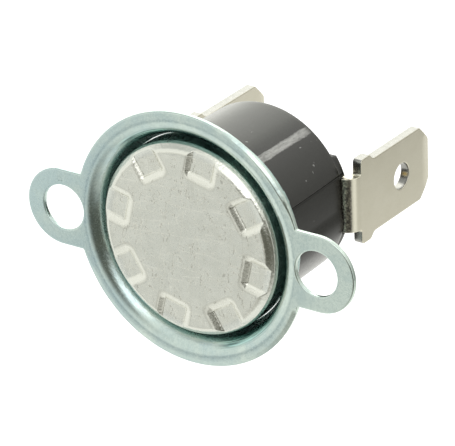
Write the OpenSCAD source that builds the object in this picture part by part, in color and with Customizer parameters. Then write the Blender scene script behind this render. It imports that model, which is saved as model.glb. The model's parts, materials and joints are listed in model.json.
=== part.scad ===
// Snap-disc oven thermostat with a two-hole mounting bracket and bent blade terminals.
// Each piece is drawn standing on its sensing face, with depth along the drawing's Z axis.
// lay_over() then turns depth towards +Y, so the sensing face looks along -Y.
// The origin is the middle of the two bracket holes, in the front plane of the ears.

/* [Mounting bracket] */
// Distance between the two bracket holes
hole_spacing = 23.8; // [23.8:0.1:24.6]
// Diameter of the bracket holes
hole_d = 3.8; // [3.2:0.1:3.8]
// Width of the ears, which end in a full half circle
ear_w = 6.5; // [5.8:0.1:7]
// Distance from a hole's middle outwards to the middle of that half circle
ear_end_shift = 0.2; // [0:0.05:0.6]
// Thickness of the bracket sheet
bracket_t = 0.4; // [0.3:0.05:0.4]
// Width of the flat band round the bracket ring
ring_band_w = 0.67; // [0.6:0.01:1]
// Distance across the drawn gutter, from the cap's side to the flat band
gutter_w = 1.85; // [1.8:0.01:1.9]
// Radius of that bend on the front surface
ring_bend_r = 1.5; // [1.4:0.05:1.6]
// Angle that the bend turns before the wall runs straight to the cap
ring_bend_angle = 72; // [68:1:76]
// Width of the four nibs folded in behind the cap
nib_w = 1; // [0.8:0.1:2]
// Angle of the nibs above and below the line of the ears
nib_angle = 30; // [25:1:45]

/* [Sensing cap] */
// How far the cap's side stands out past the housing behind it
cap_step = 0.58; // [0.5:0.01:0.65]
// Thickness of the cap sheet
cap_t = 0.5; // [0.4:0.05:0.5]
// How far the sensing face stands in front of the ears
cap_proud = 0.25; // [0.1:0.05:0.4]
// Height of the cap from its sensing face to its rolled rear edge
cap_h = 3.05; // [3:0.05:3.4]
// Number of pressed pads round the face
pad_count = 8; // [6:1:8]
// Angle of the first pad from the line of the ears
pad_turn = -13.4; // [-20:0.1:20]
// Depth of the pads
pad_depth = 0.28; // [0.2:0.01:0.3]
// Width of a pad's floor
pad_w = 2.24; // [1.8:0.02:2.4]
// Distance from the cap's side to the inner edge of a pad's floor
pad_l = 2.33; // [2.25:0.01:2.5]

/* [Base housing] */
// Radius of the housing just behind the cap
body_front_r = 7.55; // [7:0.01:8]
// How much the housing's radius tapers towards its rear edge
body_taper = 0.2; // [0.15:0.01:0.4]
// Depth of the rear face behind the ears
body_z = 11.3; // [10.5:0.1:12]
// Width of the flat on each side
flat_w = 5.3; // [4.5:0.1:5.5]
// Height of the raised bars beside the terminals
bar_h = 0.7; // [0.4:0.1:0.9]

/* [Terminals] */
// Width of the blades
tab_w = 6.3; // [6.2:0.05:6.4]
// Thickness of the terminal strip
tab_t = 0.8; // [0.7:0.05:0.8]
// Distance from the rear face of the housing to the right blade's tip
right_reach = 11.35; // [10.5:0.05:12]
// Distance from the rear face of the housing to the left blade's tip
left_reach = 11.65; // [10.5:0.05:12]
// Width of the neck on the rear face
neck_w = 4.66; // [4:0.02:4.7]
// Width across the shoulders
shoulder_w = 7.3; // [7:0.1:8]
// Diameter of the hole in each blade
tab_hole_d = 2.2; // [1.8:0.1:2.4]
// How far the right blade stands out past the housing's rear edge
right_blade_out = 0.6; // [0.5:0.05:1.5]
// How far the left blade stands out past the housing's rear edge
left_blade_out = 1.5; // [0.5:0.05:1.9]

/* [Mechanism] */
// Thickness of the bimetal disc
disc_t = 0.18; // [0.12:0.01:0.2]
// Bow of the disc between its middle and its rim
disc_bow = 0.25; // [0.2:0.01:0.3]
// Diameter of the transfer pin
pin_d = 2; // [1.8:0.1:2.2]
// Radial running clearance of the pin in its guide
pin_clearance = 0.03; // [0.02:0.01:0.06]
// Diameter of the contacts
contact_d = 2.8; // [2.4:0.1:3]
// Thickness of the contact arm
arm_t = 0.25; // [0.2:0.05:0.3]
// Width of the contact arm
arm_w = 2.8; // [2.4:0.1:3.2]

/* [Hidden] */
$fn = 96;
// Overlap of a cutting solid past the face that it cuts
over = 1;
// Gap left between pieces that rest on each other but move apart
rest_gap = 0.02;
// Gap left between sheet pieces that are pressed round one another
clinch_gap = 0.03;
// Gap between a loose piece and the wall that keeps it in place
side_gap = 0.15;
// Number of straight steps in a drawn quarter bend
bend_steps = 12;

// Sensing cap
cap_r = body_front_r + cap_step;
cap_front_z = -cap_proud;
cap_rear_z = cap_h - cap_proud;
bevel_w = 0.85;
bevel_d = 0.45;
shoulder_d = 0.25;
shoulder_in = 0.13;
cap_flat_r = cap_r - shoulder_in - bevel_w;
cap_roll_r = 0.5;
lip_hold = 0.4;
cap_lip_r = body_front_r - lip_hold;
cap_in_r = cap_r - cap_t;
cap_floor_z = cap_front_z + cap_t;
pad_in_r = cap_r - pad_l;
pad_wall_run = 0.56;
pad_skin = 0.25;
pad_floor_z = cap_front_z + pad_depth;
pad_back_z = pad_floor_z + cap_t;
pad_reach_r = cap_in_r - 0.05;

// Bracket
ring_flat_r = cap_r + gutter_w;
ring_r = ring_flat_r + ring_band_w;
wall_turn = ring_bend_angle;
wall_in_r = cap_r + clinch_gap;
wall_top_r = ring_flat_r - ring_bend_r * sin(wall_turn);
wall_top_z = ring_bend_r - ring_bend_r * cos(wall_turn);
wall_run = (wall_top_r - wall_in_r) / cos(wall_turn);
wall_end_z = wall_top_z + wall_run * sin(wall_turn);
collar_rear_z = cap_rear_z + 0.15;
collar_front_z = wall_end_z + bracket_t * (cos(wall_turn) - (1 - sin(wall_turn)) * tan(wall_turn));
ring_edge_r = 0.24;
ear_end_r = ear_w / 2;
ear_end_x = hole_spacing / 2 + ear_end_shift;
ear_root_r = 0.35;
nib_body_gap = 0.2;
nib_front_z = cap_rear_z + clinch_gap;
nib_in_r = body_front_r + nib_body_gap;

// Base housing
body_rear_r = body_front_r - body_taper;
flange_r = cap_in_r - clinch_gap;
flange_front_z = pad_back_z + rest_gap;
flange_chamfer = 0.3;
groove_gap = 0.1;
groove_r = cap_lip_r - groove_gap;
groove_front_z = cap_rear_z - cap_t - clinch_gap;
groove_rear_z = cap_rear_z + 0.05;
flange_wall = 0.6;
recess_r = flange_r - flange_wall;
rear_wall_t = 2;
chamber_rear_z = body_z - rear_wall_t;
chamber_wall = 1.4;
chamber_x = recess_r - chamber_wall;
chamber_y = chamber_x / 2;
bar_gap = 0.09;
bar_in_y = neck_w / 2 + bar_gap;
bar_w = 1.56;
bar_out_y = bar_in_y + bar_w;
bar_draft = 0.12;
rear_chamfer = 0.1;
rivet_r = 1;
rivet_hole_r = rivet_r + 0.05;
rivet_head_r = 1.7;
rivet_x = chamber_x - 2 * rivet_r;

// Guide plate
guide_r = recess_r - 0.05;
guide_rim_w = 0.45;
guide_rear_z = groove_front_z - 0.27;
guide_rim_front_z = flange_front_z + 0.05;
guide_rim_in_r = guide_r - guide_rim_w;
guide_boss_r = 2.2;
pin_r = pin_d / 2;

// Disc
pad_edge_r = pad_in_r - pad_skin;
disc_r = guide_rim_in_r - side_gap;
disc_front_z = pad_back_z + rest_gap - disc_bow * pow(pad_edge_r / disc_r, 2);
disc_travel = 0.35;
disc_steps = 16;
guide_floor_z = disc_front_z + disc_bow + disc_t + disc_travel + 0.1;

// Contacts and arm
plate_t = 0.5;
plate_side_gap = 0.1;
plate_edge_gap = 0.4;
plate_w = 2 * (chamber_y - plate_edge_gap);
plate_out_x = chamber_x - plate_side_gap;
upright_x = plate_out_x - plate_t;
contact_r = contact_d / 2;
contact_wall_gap = 0.2;
contact_x = upright_x - contact_wall_gap - contact_r;
contact_head_t = 0.58;
contact_stem_r = 0.6;
contact_upset_r = 0.9;
contact_upset_t = 0.2;
contact_land = 1.2;
shelf_in_x = contact_x - contact_land;
arm_tip_x = contact_x + contact_land;
arm_space = 3.4;
arm_front_z = chamber_rear_z - arm_space;
arm_rear_z = arm_front_z + arm_t;
arm_rivet_r = 0.55;
arm_rivet_head_r = 0.95;
arm_rivet_head_t = 0.35;
arm_rivet_gap = 0.1;
arm_rivet_x = -(upright_x - arm_rivet_gap - arm_rivet_head_r);
arm_hole_r = arm_rivet_r + 0.05;
arm_root_gap = 0.05;
arm_pivot_x = arm_rivet_x + contact_land;
anchor_in_x = -arm_pivot_x + 0.1;
moving_face_z = arm_front_z - contact_head_t;
fixed_face_z = moving_face_z - rest_gap;
fixed_shelf_z = fixed_face_z - contact_head_t - plate_t;
foot_z = chamber_rear_z - plate_t;
foot_in_x = rivet_x - rivet_head_r;
guide_boss_gap = 0.42;
guide_boss_rear_z = fixed_shelf_z - contact_upset_t - guide_boss_gap;
pin_front_z = disc_front_z + disc_t + rest_gap;
pin_rear_z = arm_front_z - rest_gap;

// Terminals
bend_in_r = 0.4;
bend_out_r = bend_in_r + tab_t;
plate_in_x = rivet_x - 1.9;
right_blade_x = body_rear_r + right_blade_out - tab_t;
left_blade_x = body_rear_r + left_blade_out - tab_t;
bend_rear_z = body_z + bend_out_r;
neck_l = 0.1;
shoulder_l = 1.3;
shoulder_slope_l = 0.5;
shoulder_start_z = bend_rear_z + neck_l;
shoulder_end_z = shoulder_start_z + shoulder_l;
blade_start_z = shoulder_end_z + shoulder_slope_l;
tab_taper_l = 1.4;
tab_tip_w = 3.5;
tab_bevel_l = 0.65;
tab_bevel_t = 0.1;
tab_hole_in = 4.15;
rivet_head_t = 0.5;
rivet_upset_r = 1.35;

// Points on an arc of radius r about [x, y], from angle a0 to angle a1
function arc(x, y, r, a0, a1, steps) =
    [for (i = [0:steps]) let (a = a0 + (a1 - a0) * i / steps) [x + r * cos(a), y + r * sin(a)]];

// Radius of the tapered housing at depth z
function body_r(z) =
    body_front_r + (body_rear_r - body_front_r) * (z - groove_rear_z) / (body_z - groove_rear_z);

// Distance from the axis to the side flat at depth z
function flat_x(z) = sqrt(pow(body_r(z), 2) - pow(flat_w / 2, 2));

// Depth of the disc's front surface at radius r
function disc_z(r) = disc_front_z + disc_bow * pow(r / disc_r, 2);

// Turns a piece drawn with depth along Z so that depth runs along +Y
module lay_over() {
    mirror([0, 1, -1]) children();
}

// Extrudes an outline drawn in X and depth, centred across the width w
module across(w) {
    rotate([90, 0, 0]) linear_extrude(w, center = true) children();
}

// Drawn ring with its bend, the wall that closes on the cap and the collar round the cap
module bracket_ring() {
    centre_z = ring_bend_r;
    last = 270 - wall_turn;
    front = arc(ring_flat_r, centre_z, ring_bend_r, 270, last, bend_steps);
    rear = arc(ring_flat_r, centre_z, ring_bend_r - bracket_t, last, 270, bend_steps);
    edge = arc(ring_r - ring_edge_r, ring_edge_r, ring_edge_r, 0, -90, bend_steps / 3);
    collar = [[wall_in_r, wall_end_z], [wall_in_r, collar_rear_z],
        [wall_in_r + bracket_t, collar_rear_z], [wall_in_r + bracket_t, collar_front_z]];
    rotate_extrude() polygon(concat([[ring_r, bracket_t]], edge, front, collar, rear));
}

// Small radius in the corner between an ear's edge and the ring
module ear_root() {
    centre_y = ear_end_r + ear_root_r;
    centre_x = sqrt(pow(ring_r + ear_root_r, 2) - pow(centre_y, 2));
    touch = ring_r / (ring_r + ear_root_r);
    difference() {
        polygon([[centre_x, ear_end_r], [centre_x, centre_y], touch * [centre_x, centre_y],
            [touch * centre_x, ear_end_r - ear_root_r]]);
        translate([centre_x, centre_y]) circle(ear_root_r);
    }
}

// One ear with its round end, towards +X, joined to the flat of the ring
module bracket_ear() {
    linear_extrude(bracket_t) difference() {
        union() {
            translate([ear_end_x, 0]) circle(ear_end_r);
            translate([0, -ear_end_r]) square([ear_end_x, ear_w]);
            ear_root();
            mirror([0, 1]) ear_root();
        }
        circle(ring_flat_r);
    }
}

// Section of a nib that passes the cap's side and folds in behind its rear edge
module nib_section() {
    outer_r = wall_in_r + bracket_t;
    rear_z = nib_front_z + bracket_t;
    polygon(concat(
        [[wall_in_r, nib_front_z - bracket_t], [wall_in_r, nib_front_z]],
        [[nib_in_r, nib_front_z], [nib_in_r, rear_z]],
        arc(outer_r - bracket_t, rear_z - bracket_t, bracket_t, 90, 0, bend_steps / 2),
        [[outer_r, nib_front_z - bracket_t]]));
}

// Nib at one angle round the cap
module nib(angle) {
    intersection() {
        rotate_extrude() nib_section();
        rotate(angle) translate([0, -nib_w / 2, 0]) cube([ring_r, nib_w, 2 * cap_rear_z]);
    }
}

module mounting_bracket() {
    color([0.72, 0.78, 0.77]) lay_over() {
        difference() {
            union() {
                bracket_ring();
                bracket_ear();
                mirror([1, 0, 0]) bracket_ear();
            }
            for (side = [-1, 1])
                translate([side * hole_spacing / 2, 0, -over]) cylinder(r = hole_d / 2, h = 2 * over);
        }
        for (angle = [nib_angle, 180 - nib_angle, 180 + nib_angle, 360 - nib_angle])
            nib(angle);
    }
}

// Full outer form of the cap with its rolled rear edge
module cap_section() {
    roll = arc(cap_r - cap_roll_r, cap_rear_z - cap_roll_r, cap_roll_r, 0, 90, bend_steps / 2);
    bevel_z = cap_front_z + bevel_d;
    in_flat_r = cap_flat_r - cap_t * 0.35;
    polygon(concat(
        [[0, cap_front_z], [cap_flat_r, cap_front_z], [cap_r - shoulder_in, bevel_z]],
        [[cap_r, bevel_z + shoulder_d]],
        roll,
        [[cap_lip_r, cap_rear_z], [cap_lip_r, cap_rear_z - cap_t]],
        [[cap_in_r, cap_rear_z - cap_t], [cap_in_r, bevel_z + cap_t]],
        [[in_flat_r, cap_floor_z], [0, cap_floor_z]]));
}

// Sloped block that presses a pad: half width and inner radius at its floor, widened by run
module pad_block(floor_z, top_z, half_w, in_r, out_r) {
    run = pad_wall_run;
    intersection() {
        rotate([90, 0, 0]) linear_extrude(4 * half_w, center = true)
            polygon([[in_r - run, top_z], [in_r, floor_z], [out_r, floor_z], [out_r, top_z]]);
        rotate([90, 0, 90]) linear_extrude(out_r)
            polygon([[-half_w - run, top_z], [-half_w, floor_z], [half_w, floor_z],
                [half_w + run, top_z]]);
    }
}

module sensing_cap() {
    color([0.80, 0.79, 0.76]) lay_over() difference() {
        union() {
            rotate_extrude() cap_section();
            for (i = [0:pad_count - 1])
                rotate(pad_turn + i * 360 / pad_count)
                    pad_block(pad_back_z, cap_floor_z, pad_w / 2 + pad_skin,
                        pad_in_r - pad_skin, pad_reach_r);
        }
        for (i = [0:pad_count - 1])
            rotate(pad_turn + i * 360 / pad_count)
                pad_block(pad_floor_z, cap_front_z, pad_w / 2, pad_in_r, cap_r + over);
    }
}

// Turned form of the housing: flange in the cap, groove for the cap's rolled edge, tapered body
module housing_turned() {
    rotate_extrude() polygon([
        [0, flange_front_z], [flange_r - flange_chamfer, flange_front_z],
        [flange_r, flange_front_z + flange_chamfer], [flange_r, groove_front_z],
        [groove_r, groove_front_z], [groove_r, groove_rear_z],
        [body_front_r, groove_rear_z], [body_r(body_z - rear_chamfer), body_z - rear_chamfer],
        [body_rear_r - rear_chamfer, body_z], [0, body_z]]);
}

// Wedge that takes the shallow drafted flat off the +X side
module side_flat() {
    far_x = body_front_r + over;
    end_z = body_z + over;
    across(2 * body_front_r) polygon([
        [flat_x(groove_rear_z), groove_rear_z], [far_x, groove_rear_z],
        [far_x, end_z], [flat_x(end_z), end_z]]);
}

// Raised bar beside the terminals, towards +Y of the drawing
module rear_bar() {
    top_z = body_z + bar_h;
    intersection() {
        rotate([90, 0, 90]) linear_extrude(2 * body_rear_r, center = true)
            polygon([[bar_in_y, body_z - over], [bar_in_y, body_z],
                [bar_in_y + bar_draft, top_z], [bar_out_y - bar_draft, top_z],
                [bar_out_y, body_z], [bar_out_y, body_z - over]]);
        cylinder(r = body_rear_r - rear_chamfer / 2, h = top_z + over);
    }
}

module base_housing() {
    color([0.13, 0.13, 0.12]) lay_over() difference() {
        union() {
            difference() {
                housing_turned();
                side_flat();
                mirror([1, 0, 0]) side_flat();
            }
            rear_bar();
            mirror([0, 1, 0]) rear_bar();
        }
        translate([0, 0, flange_front_z - over])
            cylinder(r = recess_r, h = guide_rear_z - flange_front_z + over);
        translate([-chamber_x, -chamber_y, guide_rear_z - over])
            cube([2 * chamber_x, 2 * chamber_y, chamber_rear_z - guide_rear_z + over]);
        for (side = [-1, 1])
            translate([side * rivet_x, 0, chamber_rear_z - over])
                cylinder(r = rivet_hole_r, h = rear_wall_t + 2 * over);
    }
}

module guide_plate() {
    color([0.45, 0.30, 0.18]) lay_over() difference() {
        rotate_extrude() polygon([
            [0, guide_floor_z], [guide_rim_in_r, guide_floor_z],
            [guide_rim_in_r, guide_rim_front_z], [guide_r, guide_rim_front_z],
            [guide_r, guide_rear_z], [guide_boss_r, guide_rear_z],
            [guide_boss_r, guide_boss_rear_z], [0, guide_boss_rear_z]]);
        translate([0, 0, guide_floor_z - over])
            cylinder(r = pin_r + pin_clearance, h = guide_boss_rear_z - guide_floor_z + 2 * over);
    }
}

module bimetal_disc() {
    front = [for (i = [0:disc_steps]) let (r = disc_r * i / disc_steps) [r, disc_z(r)]];
    rear = [for (i = [disc_steps:-1:0]) let (r = disc_r * i / disc_steps) [r, disc_z(r) + disc_t]];
    color([0.70, 0.66, 0.58]) lay_over() rotate_extrude() polygon(concat(front, rear));
}

module transfer_pin() {
    color([0.92, 0.90, 0.85]) lay_over() {
        translate([0, 0, pin_front_z]) cylinder(r = pin_r, h = pin_rear_z - pin_r - pin_front_z);
        translate([0, 0, pin_rear_z - pin_r]) sphere(pin_r);
    }
}

// Leaf between two distances along the arm, with a hole at hole_x
module leaf(from_x, to_x, hole_x, hole_r) {
    translate([0, 0, arm_front_z]) linear_extrude(arm_t) difference() {
        translate([from_x, -arm_w / 2]) square([to_x - from_x, arm_w]);
        translate([hole_x, 0]) circle(hole_r);
    }
}

module contact_arm() {
    color([0.80, 0.62, 0.36]) lay_over() intersection() {
        leaf(arm_pivot_x + arm_root_gap, arm_tip_x, contact_x, contact_stem_r);
        translate([arm_tip_x - arm_w, 0, 0]) union() {
            cylinder(r = arm_w, h = chamber_rear_z);
            translate([-2 * arm_tip_x, -arm_w, 0])
                cube([2 * arm_tip_x, 2 * arm_w, chamber_rear_z]);
        }
    }
}

module arm_clamped_end() {
    color([0.80, 0.62, 0.36]) lay_over()
        leaf(-plate_out_x + plate_t, arm_pivot_x - arm_root_gap, arm_rivet_x, arm_hole_r);
}

// Contact with its head in front of head_rear_z and its stem riveted over through a sheet
module moving_contact() {
    color([0.86, 0.86, 0.84]) lay_over() translate([contact_x, 0, 0]) {
        translate([0, 0, moving_face_z]) cylinder(r = contact_r, h = contact_head_t);
        translate([0, 0, arm_front_z]) cylinder(r = contact_stem_r, h = arm_t);
        translate([0, 0, arm_rear_z]) cylinder(r = contact_upset_r, h = contact_upset_t);
    }
}

module fixed_contact() {
    color([0.86, 0.86, 0.84]) lay_over() translate([contact_x, 0, 0]) {
        translate([0, 0, fixed_shelf_z + plate_t]) cylinder(r = contact_r, h = contact_head_t);
        translate([0, 0, fixed_shelf_z]) cylinder(r = contact_stem_r, h = plate_t);
        translate([0, 0, fixed_shelf_z - contact_upset_t])
            cylinder(r = contact_upset_r, h = contact_upset_t);
    }
}

// Stepped plate towards +X: foot on the rear wall, upright at the side, shelf at shelf_z
module stepped_plate(shelf_z, shelf_x) {
    across(plate_w) {
        translate([foot_in_x, foot_z]) square([plate_out_x - foot_in_x, plate_t]);
        translate([plate_out_x - plate_t, shelf_z]) square([plate_t, chamber_rear_z - shelf_z]);
        translate([shelf_x, shelf_z]) square([plate_out_x - shelf_x, plate_t]);
    }
}

// Hole of radius r through the sheet whose front face is at z
module sheet_hole(x, z, r) {
    translate([x, 0, z - over / 2]) cylinder(r = r, h = plate_t + over);
}

module fixed_contact_plate() {
    color([0.78, 0.62, 0.32]) lay_over() difference() {
        stepped_plate(fixed_shelf_z, shelf_in_x);
        sheet_hole(contact_x, fixed_shelf_z, contact_stem_r);
        sheet_hole(rivet_x, foot_z, rivet_hole_r);
    }
}

module arm_anchor_plate() {
    color([0.78, 0.62, 0.32]) lay_over() difference() {
        mirror([1, 0, 0]) stepped_plate(arm_rear_z, anchor_in_x);
        sheet_hole(arm_rivet_x, arm_rear_z, arm_hole_r);
        sheet_hole(-rivet_x, foot_z, rivet_hole_r);
    }
}

// Rivet from z0 to z1, with a head of radius r0 in front of z0 and one of radius r1 behind z1
module rivet(x, shank_r, r0, r1, head_t, z0, z1) {
    rounding = head_t / 2;
    translate([x, 0, 0]) rotate_extrude() polygon([
        [0, z0 - head_t], [r0 - rounding, z0 - head_t], [r0, z0 - head_t + rounding],
        [r0, z0], [shank_r, z0], [shank_r, z1], [r1, z1],
        [r1, z1 + head_t - rounding], [r1 - rounding, z1 + head_t], [0, z1 + head_t]]);
}

module arm_rivet() {
    color([0.78, 0.62, 0.32]) lay_over()
        rivet(arm_rivet_x, arm_rivet_r, arm_rivet_head_r, arm_rivet_head_r, arm_rivet_head_t,
            arm_front_z, arm_rear_z + plate_t);
}

// Strip bent from the rear face to the blade, seen from the side, towards +X
module terminal_profile(blade_x, tip_z) {
    out_x = blade_x + tab_t;
    bend_x = out_x - bend_out_r;
    translate([plate_in_x, body_z]) square([bend_x - plate_in_x, tab_t]);
    translate([bend_x, bend_rear_z]) intersection() {
        difference() {
            circle(bend_out_r);
            circle(bend_in_r);
        }
        translate([0, -bend_out_r]) square(bend_out_r);
    }
    polygon([[blade_x, bend_rear_z], [out_x, bend_rear_z], [out_x, tip_z - tab_bevel_l],
        [out_x - tab_bevel_t, tip_z], [blade_x + tab_bevel_t, tip_z],
        [blade_x, tip_z - tab_bevel_l]]);
}

// Face of the terminal: neck, shoulders, blade and its cut-off corners
module terminal_face(tip_z) {
    half_neck = neck_w / 2;
    half_shoulder = shoulder_w / 2;
    half_tab = tab_w / 2;
    right = [[half_neck, body_z - over], [half_neck, shoulder_start_z],
        [half_shoulder, shoulder_start_z], [half_shoulder, shoulder_end_z],
        [half_tab, blade_start_z], [half_tab, tip_z - tab_taper_l],
        [tab_tip_w / 2, tip_z]];
    left = [for (i = [len(right) - 1:-1:0]) [-right[i][0], right[i][1]]];
    polygon(concat(right, left));
}

// Terminal towards +X with its blade's inner face at blade_x and its tip reach behind the housing
module terminal(blade_x, reach) {
    far_x = blade_x + tab_t + over;
    tip_z = body_z + reach;
    difference() {
        intersection() {
            across(shoulder_w + over) terminal_profile(blade_x, tip_z);
            rotate([90, 0, 90]) linear_extrude(far_x) terminal_face(tip_z);
        }
        translate([rivet_x, 0, body_z - over]) cylinder(r = rivet_hole_r, h = tab_t + 2 * over);
        translate([blade_x - over, 0, tip_z - tab_hole_in]) rotate([0, 90, 0])
            cylinder(r = tab_hole_d / 2, h = tab_t + 2 * over);
    }
}

module terminal_right() {
    color([0.78, 0.76, 0.69]) lay_over() terminal(right_blade_x, right_reach);
}

module terminal_left() {
    color([0.78, 0.76, 0.69]) lay_over() mirror([1, 0, 0]) terminal(left_blade_x, left_reach);
}

// Rivet that clamps a terminal, the rear wall and the plate inside
module terminal_rivet(x) {
    color([0.80, 0.66, 0.38]) lay_over()
        rivet(x, rivet_r, rivet_upset_r, rivet_head_r, rivet_head_t, foot_z, body_z + tab_t);
}

mounting_bracket();
sensing_cap();
base_housing();
guide_plate();
bimetal_disc();
transfer_pin();
contact_arm();
arm_clamped_end();
moving_contact();
fixed_contact();
fixed_contact_plate();
arm_anchor_plate();
arm_rivet();
terminal_left();
terminal_right();
terminal_rivet(-rivet_x);  // rivet_left
terminal_rivet(rivet_x);  // rivet_right
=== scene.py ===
import json
import math

import bmesh
import bpy
import numpy as np
from mathutils import Matrix, Vector
from mathutils.geometry import delaunay_2d_cdt

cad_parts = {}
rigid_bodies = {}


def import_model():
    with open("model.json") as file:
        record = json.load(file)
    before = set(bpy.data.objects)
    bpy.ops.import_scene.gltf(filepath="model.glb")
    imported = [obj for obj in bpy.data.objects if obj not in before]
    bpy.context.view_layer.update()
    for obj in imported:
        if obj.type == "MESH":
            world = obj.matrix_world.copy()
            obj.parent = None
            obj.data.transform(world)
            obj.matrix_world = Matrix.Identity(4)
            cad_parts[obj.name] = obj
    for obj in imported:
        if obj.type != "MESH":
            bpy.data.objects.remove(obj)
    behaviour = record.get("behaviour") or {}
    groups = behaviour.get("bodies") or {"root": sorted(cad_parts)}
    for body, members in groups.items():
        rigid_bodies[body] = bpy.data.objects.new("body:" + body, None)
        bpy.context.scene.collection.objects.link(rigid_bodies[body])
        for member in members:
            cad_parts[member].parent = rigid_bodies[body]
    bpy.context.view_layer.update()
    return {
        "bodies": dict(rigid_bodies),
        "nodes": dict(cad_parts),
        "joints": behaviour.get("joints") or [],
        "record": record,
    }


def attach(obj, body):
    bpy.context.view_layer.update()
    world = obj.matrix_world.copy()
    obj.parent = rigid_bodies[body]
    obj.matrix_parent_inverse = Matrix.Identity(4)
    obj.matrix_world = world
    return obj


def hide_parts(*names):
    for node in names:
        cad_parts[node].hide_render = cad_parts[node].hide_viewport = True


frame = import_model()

MM = 0.001

# Camera, as fitted to the photograph: degrees, millimetres and pixels of a 455 by 446 image
IMAGE_W, IMAGE_H = 455, 446
VIEW_AZIMUTH = 35.55
VIEW_ELEVATION = 25.34
VIEW_ROLL = -2.13
VIEW_DISTANCE = 360.4
FOCAL_PX = 4646.6
ORIGIN_PX = (187.66, 240.16)
SENSOR_W = 36.0

# Bracket, in millimetres
HOLE_X = 11.9
HOLE_R = 1.9
EAR_END_X = 12.1
EAR_HALF_W = 3.25
EAR_ROOT_R = 0.15
BRACKET_T = 0.4
RING_R = 10.645
RING_FLAT_R = 9.98
RING_BEND_R = 1.5
RING_TURN = 72.0
RIM = ((-180, 10.58, 0.04), (-164, 10.58, 0.04), (-150, 10.32, 0.09), (-20, 10.32, 0.09), (0, 10.5, 0.03),
       (24, 10.5, 0.03), (36, 10.38, 0.17), (62, 10.38, 0.17), (76, 10.58, 0.04), (180, 10.58, 0.04))
GRIP_R = 8.16
COLLAR_REAR = 2.95
NIB_ANGLES = (30, 150, 210, 330)
NIB_W = 1.0

# Sensing cap
CAP_R = 8.13
CAP_T = 0.5
CAP_FRONT = -0.25
CAP_REAR = 2.8
CAP_FLAT_R = 7.5
PAD_TURN = -13.4
PAD_COUNT = 8
PAD_DEPTH = 0.28
PAD_HALF_W = 0.98
PAD_IN_R = 5.95
PAD_WALLS = ((0.72, 0.72, 0.84), (0.76, 0.60, 0.80), (0.72, 0.54, 0.76), (0.76, 0.42, 0.76),
             (0.80, 0.78, 0.80), (0.86, 0.82, 0.78), (0.66, 0.80, 0.80), (0.96, 0.76, 0.80))

# Housing
BODY_START = 2.85
BODY_REAR = 11.3
BODY_FRONT_R = 7.55
BODY_REAR_R = 7.35
FLAT_HALF_W = 2.65
FLAT_CROWN = 0.1
GROOVE_R = 7.05
BAR_H = 0.7
BAR_IN = 2.42
BAR_OUT = 3.98

# Terminals
TAB_T = 0.8
NECK_HALF_W = 2.33
SHOULDER_HALF_W = 3.65
TAB_HALF_W = 3.15
TAB_HOLE_R = 1.1
TAB_HOLE_IN = 4.15
RIGHT_TIP = 22.65
LEFT_TIP = 22.95
PLATE_IN_X = 1.7
RIVET_X = 3.6
RIVET_HOLE_R = 1.05
BEND_IN_R = 0.4
RIGHT_BLADE_X = 7.15
LEFT_BLADE_X = 8.05

# Surroundings
FLOOR_Z = -45.0
DOME_R = 100.0


# Geometry helpers

def arc(cx, cy, r, a0, a1, steps):
    """Points on an arc about (cx, cy), angles in degrees."""
    angles = np.radians(np.linspace(a0, a1, steps + 1))
    return [(cx + r * math.cos(a), cy + r * math.sin(a)) for a in angles]


def densify(loop, step):
    """The closed loop with no side longer than step."""
    points = []
    for i, a in enumerate(loop):
        b = loop[(i + 1) % len(loop)]
        n = max(1, math.ceil(math.dist(a, b) / step))
        points += [(a[0] + (b[0] - a[0]) * k / n, a[1] + (b[1] - a[1]) * k / n) for k in range(n)]
    return points


def rounded(loop, radii, steps=5):
    """The closed loop with each corner turned into an arc of the radius given for it."""
    points = []
    n = len(loop)
    for i in range(n):
        p, a, b = Vector(loop[i]), Vector(loop[i - 1]), Vector(loop[(i + 1) % n])
        r = radii[i]
        da, db = (a - p).normalized(), (b - p).normalized()
        half = da.angle(db) / 2
        if r <= 0 or abs(half - math.pi / 2) < 0.01:
            points.append(tuple(p))
            continue
        reach = r / math.tan(half)
        centre = p + (da + db).normalized() * (r / math.sin(half))
        start, end = p + da * reach - centre, p + db * reach - centre
        turn = start.angle_signed(end)
        for k in range(steps + 1):
            t = -turn * k / steps
            c, s = math.cos(t), math.sin(t)
            points.append((centre.x + start.x * c - start.y * s, centre.y + start.x * s + start.y * c))
    return points


def inset(loop, d):
    """The closed loop moved to its left by d, which is into the material."""
    p = np.array(loop)
    ahead = np.roll(p, -1, 0) - p
    ahead /= np.linalg.norm(ahead, axis=1)[:, None]
    behind = np.roll(ahead, 1, 0)
    n = np.stack([-(ahead[:, 1] + behind[:, 1]), ahead[:, 0] + behind[:, 0]], 1) / 2
    n /= np.maximum((n * n).sum(1), 0.3)[:, None]
    return p + n * d


def inside(points, loop):
    """True for each point that lies in the closed loop."""
    x, y = points[:, 0], points[:, 1]
    result = np.zeros(len(points), bool)
    a = np.array(loop)
    b = np.roll(a, -1, 0)
    for (x0, y0), (x1, y1) in zip(a, b):
        if y0 != y1:
            crosses = ((y0 > y) != (y1 > y)) & (x < (x1 - x0) * (y - y0) / (y1 - y0) + x0)
            result ^= crosses
    return result


def smooth_step(x):
    x = np.clip(x, 0, 1)
    return x * x * (3 - 2 * x)


def pressed(x):
    """A pressed wall from 0 to 1: rounded at its start, steeper towards its foot."""
    return np.interp(x, [0, 0.15, 0.4, 0.6, 0.75, 0.85, 0.95, 1],
                     [0, 0.02, 0.16, 0.38, 0.56, 0.72, 0.94, 1])


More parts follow.
